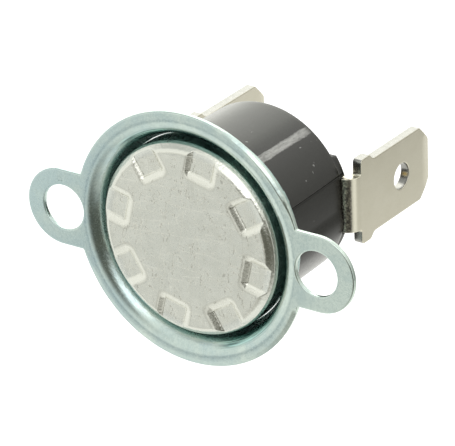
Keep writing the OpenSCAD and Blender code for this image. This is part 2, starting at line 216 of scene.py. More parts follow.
def new_piece(name, vertices, faces, body="housing", smooth=True):
    """A mesh object from points in millimetres, riding on a body."""
    mesh = bpy.data.meshes.new(name)
    mesh.from_pydata([tuple(c * MM for c in v) for v in vertices], [], faces)
    mesh.update()
    work = bmesh.new()
    work.from_mesh(mesh)
    bmesh.ops.remove_doubles(work, verts=work.verts, dist=1e-7)
    bmesh.ops.recalc_face_normals(work, faces=work.faces)
    work.to_mesh(mesh)
    work.free()
    mesh.polygons.foreach_set("use_smooth", [smooth] * len(mesh.polygons))
    piece = bpy.data.objects.new(name, mesh)
    bpy.context.scene.collection.objects.link(piece)
    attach(piece, body)
    return piece


def weigh_normals(piece):
    """Keeps broad faces flat beside narrow rounded edges, and folds crisp."""
    work = bmesh.new()
    work.from_mesh(piece.data)
    for edge in work.edges:
        edge.smooth = edge.calc_face_angle(0.0) < math.radians(38)
    work.to_mesh(piece.data)
    work.free()
    modifier = piece.modifiers.new("weighted normals", "WEIGHTED_NORMAL")
    modifier.weight = 80
    modifier.keep_sharp = True


def sheet_solid(outline, holes, inner, place, thickness, edge, steps=3):
    """Vertices and faces of a sheet with rounded edges.

    outline runs anticlockwise and holes run clockwise, in flat (u, v). place(u, v, w) bends the
    sheet: w is the depth from its first face. inner are extra points that let it bend.
    """
    loops = [outline] + holes
    rounds = [(edge * (1 - math.sin(a)), edge * (1 - math.cos(a)))
              for a in np.linspace(0, math.pi / 2, steps + 1)]
    layers = [(d, w) for d, w in rounds] + [(d, thickness - w) for d, w in reversed(rounds)]
    flat = [inset(loop, edge) for loop in loops]
    border = np.concatenate(flat)
    edges = []
    start = 0
    for loop in flat:
        n = len(loop)
        edges += [(start + i, start + (i + 1) % n) for i in range(n)]
        start += n
    keep = inside(inner, inset(outline, edge * 2.3))
    for hole in holes:
        keep &= ~inside(inner, inset(hole, edge * 2.3))
    support = np.concatenate([inset(loop, edge * 1.9) for loop in loops])
    points = np.concatenate([border, support, inner[keep]])
    made = delaunay_2d_cdt([Vector(p) for p in points], edges, [], 1, 1e-5)
    flat_points = np.array([tuple(p) for p in made[0]])
    triangles = np.array([tuple(f) for f in made[2]])
    centres = flat_points[triangles].mean(1)
    solid = np.ones(len(triangles), bool)
    for loop in flat[1:]:
        solid &= ~inside(centres, loop)
    triangles = triangles[solid]

    vertices = [place(u, v, 0.0) for u, v in flat_points]
    vertices += [place(u, v, thickness) for u, v in flat_points]
    n = len(flat_points)
    faces = [tuple(int(i) for i in t) for t in triangles]
    faces += [tuple(int(i) + n for i in reversed(t)) for t in triangles]
    for loop in loops:
        count = len(loop)
        base = len(vertices)
        for d, w in layers:
            vertices += [place(u, v, w) for u, v in inset(loop, d)]
        for k in range(len(layers) - 1):
            for i in range(count):
                j = (i + 1) % count
                a, b = base + k * count, base + (k + 1) * count
                faces.append((a + i, b + i, b + j, a + j))
    return vertices, faces


def revolve(profile, count, closed=True):
    """Vertices and faces of a profile of (r, depth) points turned round the Y axis."""
    vertices, faces = [], []
    for k in range(count):
        a = 2 * math.pi * k / count
        vertices += [(r * math.cos(a), y, r * math.sin(a)) for r, y in profile]
    n = len(profile)
    for k in range(count):
        here, there = k * n, (k + 1) % count * n
        for i in range(n if closed else n - 1):
            j = (i + 1) % n
            faces.append((here + i, here + j, there + j, there + i))
    return vertices, faces


def joined(*parts):
    """One list of vertices and one of faces from several."""
    vertices, faces = [], []
    for some_vertices, some_faces in parts:
        start = len(vertices)
        vertices += some_vertices
        faces += [tuple(i + start for i in face) for face in some_faces]
    return vertices, faces


# Material helpers

class Nodes:
    """A material's node tree, with short calls for the nodes that it uses."""

    def __init__(self, name):
        self.material = bpy.data.materials.new(name)
        self.material.use_nodes = True
        self.tree = self.material.node_tree
        self.shader = self.tree.nodes["Principled BSDF"]
        self.place = self.add("ShaderNodeTexCoord").outputs["Object"]

    def add(self, kind, **settings):
        node = self.tree.nodes.new(kind)
        for key, value in settings.items():
            if hasattr(node, key):
                setattr(node, key, value)
            else:
                self.set(node.inputs[key.replace("_", " ").title()], value)
        return node

    def set(self, socket, value):
        if isinstance(value, bpy.types.NodeSocket):
            self.tree.links.new(value, socket)
        elif socket.type == "RGBA" and len(value) == 3:
            socket.default_value = (*value, 1.0)
        else:
            socket.default_value = value

    def noise(self, scale, detail=3.0, roughness=0.55, stretch=(1, 1, 1), offset=(0, 0, 0)):
        """Noise whose scale is in features per millimetre."""
        mapping = self.add("ShaderNodeMapping")
        self.set(mapping.inputs["Vector"], self.place)
        self.set(mapping.inputs["Scale"], tuple(s * scale / MM for s in stretch))
        self.set(mapping.inputs["Location"], offset)
        return self.noise_at(mapping.outputs["Vector"], detail, roughness)

    def noise_round(self, around, across, along, detail=3.0, roughness=0.55):
        """Noise in features per radian round the Y axis, and per millimetre of radius and depth."""
        x, y, z = self.axes()
        place = self.add("ShaderNodeCombineXYZ")
        for socket, value, scale in zip(place.inputs, (self.math("ARCTAN2", z, x), self.length(x, z), y),
                                        (around, across, along)):
            self.set(socket, self.math("MULTIPLY", value, scale))
        return self.noise_at(place.outputs[0], detail, roughness)

    def noise_at(self, place, detail, roughness):
        node = self.add("ShaderNodeTexNoise")
        self.set(node.inputs["Vector"], place)
        self.set(node.inputs["Scale"], 1.0)
        self.set(node.inputs["Detail"], detail)
        self.set(node.inputs["Roughness"], roughness)
        return node.outputs["Fac"]

    def ramp(self, value, *stops):
        """A colour ramp through (position, colour or grey) stops."""
        node = self.add("ShaderNodeValToRGB")
        self.set(node.inputs["Fac"], value)
        elements = node.color_ramp.elements
        while len(elements) < len(stops):
            elements.new(0.5)
        for element, (position, colour) in zip(elements, stops):
            element.position = position
            element.color = (colour,) * 3 + (1,) if isinstance(colour, (int, float)) else (*colour, 1)
        return node.outputs["Color"]

    def smooth(self, value, start, end):
        """A soft rise from 0 at start to 1 at end."""
        node = self.add("ShaderNodeMapRange", interpolation_type="SMOOTHSTEP")
        self.set(node.inputs["Value"], value)
        self.set(node.inputs["From Min"], start)
        self.set(node.inputs["From Max"], end)
        return node.outputs["Result"]

    def math(self, operation, a, b=0.0, c=0.0, clamp=False):
        node = self.add("ShaderNodeMath", operation=operation, use_clamp=clamp)
        for socket, value in zip(node.inputs, (a, b, c)):
            self.set(socket, value)
        return node.outputs[0]

    def mix(self, factor, a, b, blend="MIX"):
        node = self.add("ShaderNodeMix", data_type="RGBA", blend_type=blend)
        self.set(node.inputs[0], factor)
        self.set(node.inputs[6], a)
        self.set(node.inputs[7], b)
        return node.outputs[2]

    def axes(self):
        """The object's own x, y and z in millimetres."""
        split = self.add("ShaderNodeSeparateXYZ")
        self.set(split.inputs[0], self.place)
        return [self.math("MULTIPLY", axis, 1 / MM) for axis in split.outputs]

    def length(self, a, b):
        squares = self.math("ADD", self.math("MULTIPLY", a, a), self.math("MULTIPLY", b, b))
        return self.math("SQRT", squares)

    def outward(self, r):
        """A mask: 1 where the surface faces away from the axis, 0 where it faces the axis."""
        geometry = self.add("ShaderNodeNewGeometry")
        parts = self.add("ShaderNodeSeparateXYZ")
        self.set(parts.inputs[0], geometry.outputs["Normal"])
        x, y, z = self.axes()
        facing = self.math("ADD", self.math("MULTIPLY", parts.outputs["X"], x), self.math("MULTIPLY", parts.outputs["Z"], z))
        return self.smooth(self.math("DIVIDE", facing, r), 0.0, 0.2)

    def line(self, value, start, soft, end):
        """One from start to end, with soft edges."""
        rise = self.smooth(value, start, start + soft)
        return self.math("MULTIPLY", rise, self.math("SUBTRACT", 1.0, self.smooth(value, end - soft, end)))

    def scratch(self, scale, stretch, width=0.006):
        """Thin lines along the contours of stretched noise."""
        across = self.math("ABSOLUTE", self.math("SUBTRACT", self.noise(scale, 2, stretch=stretch), 0.5))
        return self.math("SUBTRACT", 1.0, self.smooth(across, 0.0, width))

    def bump(self, *layers):
        """Chained bumps from (height, distance in millimetres) layers."""
        normal = None
        for height, distance in layers:
            node = self.add("ShaderNodeBump")
            self.set(node.inputs["Height"], height)
            self.set(node.inputs["Distance"], distance * MM)
            if normal is not None:
                self.set(node.inputs["Normal"], normal)
            normal = node.outputs["Normal"]
        self.set(self.shader.inputs["Normal"], normal)

    def surface(self, **inputs):
        for key, value in inputs.items():
            self.set(self.shader.inputs[key.replace("_", " ")], value)
        return self.material


def both(n, *masks):
    result = masks[0]
    for mask in masks[1:]:
        result = n.math("MULTIPLY", result, mask)
    return result


def zinc_plate():
    n = Nodes("zinc_plate")
    x, y, z = n.axes()
    grain = n.noise(7.0, 4)
    # Random plating patches, plus painted light: the colour runs lighter and warmer towards +x and darker and bluer
    # towards -x
    patches = n.math("ADD", n.noise(0.35, 4), n.math("MULTIPLY", x, 0.010))
    colour = n.ramp(patches, (0.32, (0.46, 0.575, 0.58)), (0.5, (0.53, 0.63, 0.60)), (0.64, (0.62, 0.71, 0.655)))
    colour = n.mix(n.ramp(grain, (0.4, 0.0), (0.75, 0.5)), colour, (0.61, 0.71, 0.66))
    r = n.length(x, z)
    # Painted shade and painted inter-reflection: deeper in the drawn funnel and collar the colour turns a darker, more
    # saturated teal; it is darkest where it faces the axis across the gap and lighter where it faces outwards
    drawn = n.math("MULTIPLY", n.smooth(y, 0.6, 1.8), n.smooth(r, 9.9, 9.4))
    marks = n.noise_round(14.0, 6.0, 6.0, 4, 0.6)
    streaks = n.noise_round(2.5, 9.0, 9.0, 3, 0.6)
    deep = n.ramp(marks, (0.36, (0.19, 0.34, 0.33)), (0.5, (0.32, 0.54, 0.50)), (0.66, (0.52, 0.76, 0.70)))
    deep = n.mix(n.outward(r), deep, n.ramp(marks, (0.36, (0.36, 0.49, 0.47)), (0.66, (0.52, 0.66, 0.61))))
    colour = n.mix(drawn, colour, deep)
    # Painted shade: streaky dark teal in the crevice between ring and cap at the top and the lower right, where the
    # gap lies in shade
    crevice = n.math("ADD", both(n, n.smooth(z, 5.6, 7.4), n.smooth(x, 4.2, 2.6)),
                     both(n, n.smooth(z, -3.4, -5.4), n.smooth(x, 1.6, 3.6)))
    painted_crevice_shade = both(n, crevice, n.smooth(y, 0.09, 0.34), n.smooth(r, 9.9, 9.4))
    colour = n.mix(painted_crevice_shade, colour, n.ramp(streaks, (0.44, (0.09, 0.16, 0.155)), (0.60, (0.42, 0.66, 0.62))))
    speckle = n.noise(3.2, 4, 0.65)
    colour = n.mix(n.ramp(speckle, (0.38, 0.25), (0.54, 0.0)), colour, (0.38, 0.46, 0.45))
    nick = n.smooth(n.length(n.math("ADD", x, 12.1), n.math("SUBTRACT", z, 2.35)), 0.34, 0.08)
    nick = n.math("MULTIPLY", nick, n.ramp(n.noise(3.0, 3), (0.45, 0.0), (0.6, 1.0)))
    colour = n.mix(nick, colour, (0.22, 0.29, 0.29))
    n.bump((n.math("MULTIPLY", marks, n.smooth(y, 0.02, 0.5)), 0.02), (speckle, 0.002), (grain, 0.003), (nick, -0.04))
    metal = n.math("MULTIPLY_ADD", drawn, -0.22, 1.0)
    return n.surface(Base_Color=colour, Metallic=metal, Roughness=n.ramp(grain, (0.3, 0.16), (0.7, 0.28)))


def cap_face():
    n = Nodes("cap_face")
    x, y, z = n.axes()
    blotch = n.noise(0.9, 5, 0.6)
    grain = n.noise(9.0, 3)
    r = n.length(x, z)
    rim = n.smooth(r, 7.1, 7.7)
    wall = n.math("MULTIPLY", n.line(y, -0.24, 0.04, 0.01), n.smooth(r, 7.5, 7.3))
    sparkle = n.noise(5.0, 3, 0.7)
    colour = n.ramp(blotch, (0.3, (0.68, 0.68, 0.61)), (0.7, (0.75, 0.75, 0.68)))
    colour = n.mix(rim, colour, (0.74, 0.75, 0.69))
    pressed_in = n.smooth(r, 7.55, 7.35)
    # Painted shade: a thin darker outline just outside each pressed pad
    outline = both(n, n.line(y, -0.2497, 0.001, -0.236), pressed_in)
    # Painted highlight: the pad walls are painted lighter, as if they caught more light
    frame = both(n, n.line(y, -0.236, 0.03, 0.026), pressed_in)
    colour = n.mix(n.math("MULTIPLY", outline, 0.38), colour, (0.48, 0.48, 0.43))
    colour = n.mix(n.math("MULTIPLY", frame, 0.5), colour, (0.84, 0.84, 0.775))
    scratches = n.math("MAXIMUM", n.scratch(0.5, (1.0, 1.0, 0.12), 0.008), n.scratch(0.6, (0.15, 1.0, 1.0), 0.008))
    curls = n.math("MULTIPLY", n.scratch(1.3, (1, 1, 1), 0.022), n.smooth(n.noise(0.9, 2, offset=(5, 0, 0)), 0.48, 0.58))
    specks = n.ramp(n.noise(1.6, 1, offset=(0, 0, 9)), (0.74, 0.0), (0.78, 1.0))
    worn = n.math("MAXIMUM", n.math("MULTIPLY", scratches, 0.12), n.math("MULTIPLY", n.math("MAXIMUM", curls, specks), 0.5))
    worn = n.math("MULTIPLY", worn, n.math("SUBTRACT", 1.0, n.math("MAXIMUM", rim, frame)))
    colour = n.mix(worn, colour, (0.40, 0.39, 0.35))
    n.bump((n.noise(1.6, 3, 0.6), 0.010), (grain, 0.002), (worn, -0.03), (n.math("MULTIPLY", sparkle, wall), 0.022),
           (n.math("MULTIPLY", n.noise(2.4, 4, 0.65), rim), 0.045))
    rough = n.mix(rim, n.ramp(grain, (0.3, 0.24), (0.7, 0.34)), (0.2, 0.2, 0.2))
    return n.surface(Base_Color=colour, Metallic=1.0, Roughness=rough)


def cap_wall():
    n = Nodes("cap_wall")
    streak = n.noise(1.2, 4, stretch=(1, 0.15, 1))
    n.bump((streak, 0.01))
    # Painted reflection: the aluminium side wall is tinted teal like the zinc collar it faces, with streaky variation
    colour = n.ramp(streak, (0.3, (0.55, 0.66, 0.62)), (0.7, (0.70, 0.76, 0.72)))
    return n.surface(Base_Color=colour, Metallic=1.0, Roughness=n.ramp(streak, (0.3, 0.16), (0.7, 0.30)))


def phenolic():
    n = Nodes("phenolic")
    x, y, z = n.axes()
    grain = n.noise(5.0, 4)
    specks = n.ramp(n.noise(1.9, 1), (0.755, 0.0), (0.785, 1.0))
    colour = n.mix(specks, n.ramp(grain, (0.3, (0.007, 0.007, 0.005)), (0.7, (0.013, 0.013, 0.010))), (0.20, 0.20, 0.19))
    turn = n.math("MULTIPLY", n.math("ARCTAN2", z, x), 180 / math.pi)
    ragged = n.math("MULTIPLY", n.math("SUBTRACT", n.noise(3.5, 5, 0.75, stretch=(1, 0.35, 1)), 0.5), 2.6)
    # A pale, duller, ragged stripe along the body's side between about 52 and 59 degrees round the axis
    pale_stripe = n.math("MULTIPLY", n.line(n.math("ADD", turn, ragged), 52.4, 1.4, 59.0), n.line(y, 3.2, 0.8, 11.25))
    pale_stripe = n.math("MULTIPLY", pale_stripe, n.ramp(n.noise(5.0, 6, 0.75, stretch=(1, 0.25, 1)), (0.36, 0.35), (0.6, 1.0)))
    colour = n.mix(pale_stripe, colour, (0.36, 0.36, 0.335))
    n.bump((n.noise(0.5, 2), 0.010), (n.noise(2.5, 2, stretch=(1, 0.04, 1)), 0.003), (grain, 0.002))
    rough = n.mix(pale_stripe, n.ramp(grain, (0.3, 0.17), (0.7, 0.26)), (0.6, 0.6, 0.6))
    side = n.smooth(n.math("ABSOLUTE", x), 6.3, 6.5)
    # The specular level is lower on the side flats; along the upper crease it drops further, painted shade that makes
    # the crease a dark line
    flat = both(n, n.smooth(z, 2.68, 2.6), n.smooth(z, -2.2, 0.2), side)
    crease = both(n, n.line(z, 2.56, 0.05, 2.74), side)
    shine = n.math("MULTIPLY", n.math("MULTIPLY_ADD", flat, -0.33, 0.64), n.math("MULTIPLY_ADD", crease, -0.8, 1.0))
    return n.surface(Base_Color=colour, Roughness=rough, Specular_IOR_Level=shine)


def nickel_strip():
    n = Nodes("nickel_strip")
    x, y, z = n.axes()
    cloud = n.noise(0.5, 3)
    grain = n.noise(10.0, 3)
    bent = n.smooth(y, 11.76, 11.56)
    bend_mottle = n.noise(6.0, 4, 0.7)
    colour = n.ramp(cloud, (0.3, (0.68, 0.65, 0.535)), (0.7, (0.71, 0.68, 0.57)))
    # Painted reflection: the bend next to the body is painted nearly black in a mottled pattern, standing for the dark
    # body and bracket it reflects
    dark = n.math("MULTIPLY", bent, n.ramp(bend_mottle, (0.42, 1.0), (0.62, 0.25)))
    colour = n.mix(dark, colour, (0.15, 0.14, 0.13))
    n.bump((n.noise(1.0, 2), 0.003), (grain, 0.003), (n.math("MULTIPLY", bend_mottle, bent), 0.012))
    return n.surface(Base_Color=colour, Metallic=1.0, Roughness=n.ramp(grain, (0.3, 0.17), (0.7, 0.27)))


def sheared_edge():
    n = Nodes("sheared_edge")
    streak = n.noise(3.0, 3, stretch=(1, 1, 0.3))
    n.bump((streak, 0.006))
    return n.surface(Base_Color=n.ramp(streak, (0.3, (0.35, 0.345, 0.325)), (0.7, (0.38, 0.375, 0.355))), Metallic=1.0,
                     Roughness=n.ramp(streak, (0.3, 0.22), (0.7, 0.30)))


def plain_metal(name, dark, light, roughness):
    n = Nodes(name)
    patches = n.noise(1.0, 4)
    grain = n.noise(8.0, 3)
    n.bump((grain, 0.004))
    return n.surface(Base_Color=n.ramp(patches, (0.3, dark), (0.7, light)), Metallic=1.0,
                     Roughness=n.ramp(grain, (0.3, roughness - 0.06), (0.7, roughness + 0.06)))


def plain_solid(name, dark, light, roughness):
    n = Nodes(name)
    patches = n.noise(1.5, 4)
    grain = n.noise(8.0, 3)
    n.bump((grain, 0.005))
    return n.surface(Base_Color=n.ramp(patches, (0.3, dark), (0.7, light)),
                     Roughness=n.ramp(grain, (0.3, roughness - 0.06), (0.7, roughness + 0.06)))


# Pieces

def drawn_path():
    """Front surface of the drawn ring inwards from its flat: run, turn, radius and depth.

    It turns by RING_TURN into a slanted wall, which ends in the collar round the cap.
    """
    turn = math.radians(RING_TURN)
    bend = RING_BEND_R * turn
    corner = bend + (RING_FLAT_R - RING_BEND_R * math.sin(turn) - GRIP_R) / math.cos(turn)
    corner_y = RING_BEND_R * (1 - math.cos(turn)) + (corner - bend) * math.sin(turn)
    run = np.linspace(0, corner + COLLAR_REAR - corner_y, 800)
    angle = np.interp(run, [0, bend, corner - 0.12, corner + 0.12], [0, turn, turn, math.pi / 2])
    step = run[1]
    inward = np.concatenate([[0], np.cumsum(np.cos((angle[1:] + angle[:-1]) / 2)) * step])
    back = np.concatenate([[0], np.cumsum(np.sin((angle[1:] + angle[:-1]) / 2)) * step])
    return run, angle, RING_FLAT_R - inward, back


PATH_RUN, PATH_ANGLE, PATH_R, PATH_Y = drawn_path()


def ring_place(u, v, w):
    """Bends the flat bracket inside RING_FLAT_R along the drawn path, and bevels the ring's rim."""
    rho = math.hypot(u, v)
    run = RING_FLAT_R - rho
    if run <= 0:
        beside = smooth_step((abs(v) - EAR_HALF_W - 0.1) / 0.6)
        turns, starts, depths = zip(*RIM)
        turn = math.degrees(math.atan2(v, u))
        start = np.interp(turn, turns, starts)
        rim = np.interp(turn, turns, depths) * max(0.0, rho - start) / (RING_R - start)
        return (u, max(w, rim * beside), v)
    angle = np.interp(run, PATH_RUN, PATH_ANGLE)
    r = np.interp(run, PATH_RUN, PATH_R) + w * math.sin(angle)
    y = np.interp(run, PATH_RUN, PATH_Y) + w * math.cos(angle)
    return (u / rho * r, y, v / rho * r)


def bracket_outline():
    """Outer edge of ring and ears, anticlockwise, with a small radius where they meet."""
    centre_z = EAR_HALF_W + EAR_ROOT_R
    centre_x = math.sqrt((RING_R + EAR_ROOT_R) ** 2 - centre_z ** 2)
    meet = math.degrees(math.atan2(centre_z, centre_x))
    quarter = arc(EAR_END_X, 0, EAR_HALF_W - 0.005, 0.01, 90, 40)
    quarter += arc(centre_x, centre_z, EAR_ROOT_R, 270, 180 + meet, 8)
    quarter += arc(0, 0, RING_R, meet, 90, 110)[1:]
    half = quarter + [(-x, z) for x, z in reversed(quarter[:-1])]
    return half + [(x, -z) for x, z in reversed(half)]


def bracket():
    outline = densify(bracket_outline(), 0.12)
    holes = [densify([(side * HOLE_X + x, z) for x, z in arc(0, 0, HOLE_R, 360, 0, 96)[:-1]], 0.2)
             for side in (1, -1)]
    inner_r = RING_FLAT_R - PATH_RUN[-1]
    opening = arc(0, 0, inner_r, 360, 0, 360)[:-1]
    grid = []
    rings = list(np.linspace(inner_r + 0.1, RING_FLAT_R + 0.05, 30)) + [10.22, 10.32, 10.36, 10.40, 10.43]
    for k, rho in enumerate(rings):
        grid += arc(0, 0, rho, k % 2 * 0.5, 360 + k % 2 * 0.5, 360)[:-1]
    vertices, faces = sheet_solid(outline, holes + [opening], np.array(grid), ring_place, BRACKET_T, 0.09)
    parts = [(vertices, faces)]
    for angle in NIB_ANGLES:
        parts.append(nib(angle))
    piece = new_piece("bracket_sheet", *joined(*parts))
    weigh_normals(piece)
    return piece


def nib(angle):
    """A narrow tongue that leaves the collar's rear edge and folds in behind the cap."""
    front = CAP_REAR + 0.03
    inner, outer = GRIP_R + 0.02, GRIP_R + BRACKET_T - 0.01
    tip = BODY_FRONT_R + 0.2
    thick = outer - inner
    bend = arc(inner, front + 0.01, thick, 0, 90, 6)
    profile = [(inner, front - 0.2), (outer, front - 0.2)] + bend
    profile += [(tip, front + 0.01 + thick), (tip, front), (inner, front)]
    a = math.radians(angle)
    vertices, faces = [], []
    n = len(profile)
    bevel = 0.06
    slices = [(-NIB_W / 2, bevel), (-NIB_W / 2 + bevel, 0), (NIB_W / 2 - bevel, 0), (NIB_W / 2, bevel)]
    mid_r = sum(r for r, _ in profile) / n
    mid_y = sum(y for _, y in profile) / n
    for across, shrink in slices:
        for r, y in profile:
            k = 1 - shrink / 1.2
            rr, yy = mid_r + (r - mid_r) * k, mid_y + (y - mid_y) * k
            vertices.append((rr * math.cos(a) - across * math.sin(a), yy, rr * math.sin(a) + across * math.cos(a)))
    for s in range(3):
        for i in range(n):
            j = (i + 1) % n
            faces.append((s * n + i, s * n + j, (s + 1) * n + j, (s + 1) * n + i))
    faces.append(tuple(range(n)))
    faces.append(tuple(3 * n + i for i in reversed(range(n))))
    return vertices, faces


def cap_profile():
    """Front of the cap from its middle outwards and back to the rolled edge, as (r, depth)."""
    edge = rounded([(6.8, CAP_FRONT), (CAP_FLAT_R, CAP_FRONT), (7.99, 0.19), (CAP_R, 0.5), (CAP_R, 1.0)],
                   [0, 0.7, 0.25, 0.3, 0], 8)[1:-1]
    face = [(r, CAP_FRONT) for r in np.linspace(0.001, 4.9, 12)]
    face += [(r, CAP_FRONT) for r in np.linspace(4.96, edge[0][0] - 0.04, 52)]
    fine = [edge[0]]
    for a, b in zip(edge, edge[1:]):
        n = max(1, math.ceil(math.dist(a, b) / 0.06))
        fine += [(a[0] + (b[0] - a[0]) * k / n, a[1] + (b[1] - a[1]) * k / n) for k in range(1, n + 1)]
    side = [(CAP_R, y) for y in np.linspace(0.9, CAP_REAR - 0.5, 8)]
    roll = arc(CAP_R - 0.5, CAP_REAR - 0.5, 0.5, 8, 90, 8)
    lip = [(7.4, CAP_REAR), (7.2, CAP_REAR), (7.15, CAP_REAR - 0.05), (7.15, CAP_REAR - 0.45)]
    back = [(7.6, CAP_REAR - 0.5), (7.63, 0.75), (6.95, 0.25), (4.0, 0.25), (0.001, 0.25)]
    return face + fine + side + roll + lip + back


def pad_depth(r, angle):
    """How deep the eight pressed pads lie below the face, for arrays of radius and angle."""
    pitch = 2 * math.pi / PAD_COUNT
    turned = (angle - math.radians(PAD_TURN)) / pitch
    pad = np.round(turned).astype(int)
    local = (turned - pad) * pitch
    walls = np.array(PAD_WALLS)[pad % PAD_COUNT]
    across = r * np.sin(local)
    run = np.where(across > 0, walls[..., 1], walls[..., 0])
    side = pressed((PAD_HALF_W + run - np.abs(across)) / run)
    end = pressed((r * np.cos(local) - PAD_IN_R + walls[..., 2]) / walls[..., 2])
    return PAD_DEPTH * side * end


def cap():
    profile = cap_profile()
    front_count = next(i for i, (r, y) in enumerate(profile) if y > CAP_REAR - 0.6)
    count = 900
    vertices, faces = revolve(profile, count, closed=False)
    points = np.array(vertices)
    r = np.hypot(points[:, 0], points[:, 2])
    angle = np.arctan2(points[:, 2], points[:, 0])
    is_front = np.tile(np.arange(len(profile)) < front_count, count)
    floor = CAP_FRONT + pad_depth(r, angle)
    points[:, 1] = np.where(is_front, np.maximum(points[:, 1], floor), points[:, 1])
    piece = new_piece("cap_shell", [tuple(p) for p in points], faces)
    return piece


def body_r(y):
    return BODY_FRONT_R + (BODY_REAR_R - BODY_FRONT_R) * (y - BODY_START) / (BODY_REAR - BODY_START)


def housing():
    chamfer = 0.12
    crease = [k * 0.05 for k in range(400, 435)]
    turns = [k * 0.5 for k in range(720)]
    turns += [q for c in crease for q in (c, 180 - c)]
    turns = sorted(set(round(t, 3) for t in turns))
    count = len(turns)
    rows = [(0.001, BODY_START, 0), (GROOVE_R, BODY_START, 0), (BODY_FRONT_R - 0.08, BODY_START, 1)]
    rows += [(body_r(y), y, 1) for y in np.linspace(BODY_START + 0.08, BODY_REAR - chamfer, 24)]
    rear_r = body_r(BODY_REAR)
    rows += [(rear_r - chamfer + chamfer * math.cos(a), BODY_REAR - chamfer + chamfer * math.sin(a), 1)
             for a in np.linspace(0.2, math.pi / 2, 6)]
    rows += [(5.0, BODY_REAR, 0), (0.001, BODY_REAR, 0)]
    vertices = []
    for turn in turns:
        ca, sa = math.cos(math.radians(turn)), math.sin(math.radians(turn))
        for r, y, cut in rows:
            rr = r
            if cut:
                flat = math.sqrt(body_r(y) ** 2 - FLAT_HALF_W ** 2) - (body_r(min(y, BODY_REAR - chamfer)) - r)
                if abs(ca) * r > flat:
                    sunk = r - (flat + FLAT_CROWN * (1 - (r * sa / FLAT_HALF_W) ** 2)) / abs(ca)
                    rr -= sunk * smooth_step(1 + r * sa / FLAT_HALF_W)
                rr -= 0.07 * math.exp(-((r * sa - FLAT_HALF_W) / 0.06) ** 2)
            vertices.append((rr * ca, y, rr * sa))
    n = len(rows)
    faces = []
    for k in range(count):
        here, there = k * n, (k + 1) % count * n
        for i in range(n - 1):
            faces.append((here + i, here + i + 1, there + i + 1, there + i))
    bars = [bar(side) for side in (1, -1)]
    piece = new_piece("housing_moulding", *joined((vertices, faces), *bars))
    return piece


def bar(side):
    """Raised bar beside the terminals, with rounded edges, standing on the rear face."""
    rim = BODY_REAR_R - 0.05
    top = BODY_REAR + BAR_H
    edge = 0.18

    def loop(d):
        r, low, high = rim - d, BAR_IN + d, BAR_OUT - d
        turns = np.linspace(math.asin(low / r), math.asin(high / r), 13)
        right = [(r * math.cos(a), r * math.sin(a)) for a in turns]
        left = [(-x, z) for x, z in reversed(right)]
        share = np.linspace(-1, 1, 41)[1:-1]
        return (right + [(-right[-1][0] * t, high) for t in share] + left + [(right[0][0] * t, low) for t in share])

    layers = [(0.0, BODY_REAR - 0.3), (0.0, top - edge)]
    layers += [(edge * (1 - math.cos(t)), top - edge + edge * math.sin(t)) for t in np.linspace(0.3, math.pi / 2, 5)]
    layers.append((edge + 0.1, top))
    vertices = []
    for d, y in layers:
        vertices += [(x, y, side * z) for x, z in loop(d)]
    n = len(loop(0))
    faces = []
    for k in range(len(layers) - 1):
        for i in range(n):
            j = (i + 1) % n
            faces.append((k * n + i, k * n + j, (k + 1) * n + j, (k + 1) * n + i))
    faces.append(tuple((len(layers) - 1) * n + i for i in range(n)))
    faces.append(tuple(reversed(range(n))))
    return vertices, faces


def terminal(name, blade_x, tip_y, side):
    out_x = blade_x + TAB_T
    bend_r = BEND_IN_R + TAB_T
    bend_x = out_x - bend_r
    flat_run = bend_x - PLATE_IN_X
    bend_run = bend_r * math.pi / 2
    blade_run = tip_y - BODY_REAR - bend_r
    total = flat_run + bend_run + blade_run
    bevel_l, bevel_t = 0.65, 0.1

    def place(u, v, w):
        thin = max(0.0, u - (total - bevel_l)) / bevel_l
        w = TAB_T / 2 + (w - TAB_T / 2) * (1 - thin * bevel_t * 2 / TAB_T)
        if u < flat_run:
            x, y = PLATE_IN_X + u, BODY_REAR + w
        elif u < flat_run + bend_run:
            t = (u - flat_run) / bend_r
            x = bend_x + (bend_r - w) * math.sin(t)
            y = BODY_REAR + bend_r - (bend_r - w) * math.cos(t)
        else:
            x, y = out_x - w, BODY_REAR + bend_r + u - flat_run - bend_run
        return (side * x, y, v)

    blade_u = flat_run + bend_run
    step_u = blade_u + 0.1
    shoulder_u = blade_u + 13.9 - BODY_REAR - bend_r
    start_u = blade_u + 14.4 - BODY_REAR - bend_r
    taper_u = total - 1.4
    half = [(0, NECK_HALF_W), (step_u, NECK_HALF_W), (step_u, SHOULDER_HALF_W), (shoulder_u, SHOULDER_HALF_W),
            (start_u, TAB_HALF_W), (taper_u, TAB_HALF_W), (total, TAB_HALF_W - 1.4)]
    radii = [0.5, 0.2, 0.35, 0.35, 0.6, 0.35, 0.35]
    loop = [(u, -v) for u, v in half] + [(u, v) for u, v in reversed(half)]
    outline = densify(rounded(loop, radii + radii[::-1]), 0.14)
    hole_u = total - TAB_HOLE_IN
    holes = [densify(arc(hole_u, 0, TAB_HOLE_R, 360, 0, 48)[:-1], 0.2),
             densify(arc(RIVET_X - PLATE_IN_X, 0, RIVET_HOLE_R, 360, 0, 36)[:-1], 0.2)]
    us = np.concatenate([np.arange(0.2, flat_run - 0.1, 0.5), np.arange(flat_run - 0.05, step_u + 0.1, 0.08),
                         np.arange(step_u + 0.4, total - 0.5, 0.5), np.linspace(total - bevel_l, total, 4)])
    vs = np.arange(-3.6, 3.7, 0.3)
    grid = np.array([(u, v) for u in us for v in vs])
    vertices, faces = sheet_solid(outline, holes, grid, place, TAB_T, 0.06)
    piece = new_piece(name, vertices, faces)
    weigh_normals(piece)
    return piece


def paint(piece, *materials):
    piece.data.materials.clear()
    for material in materials:
        piece.data.materials.append(material)


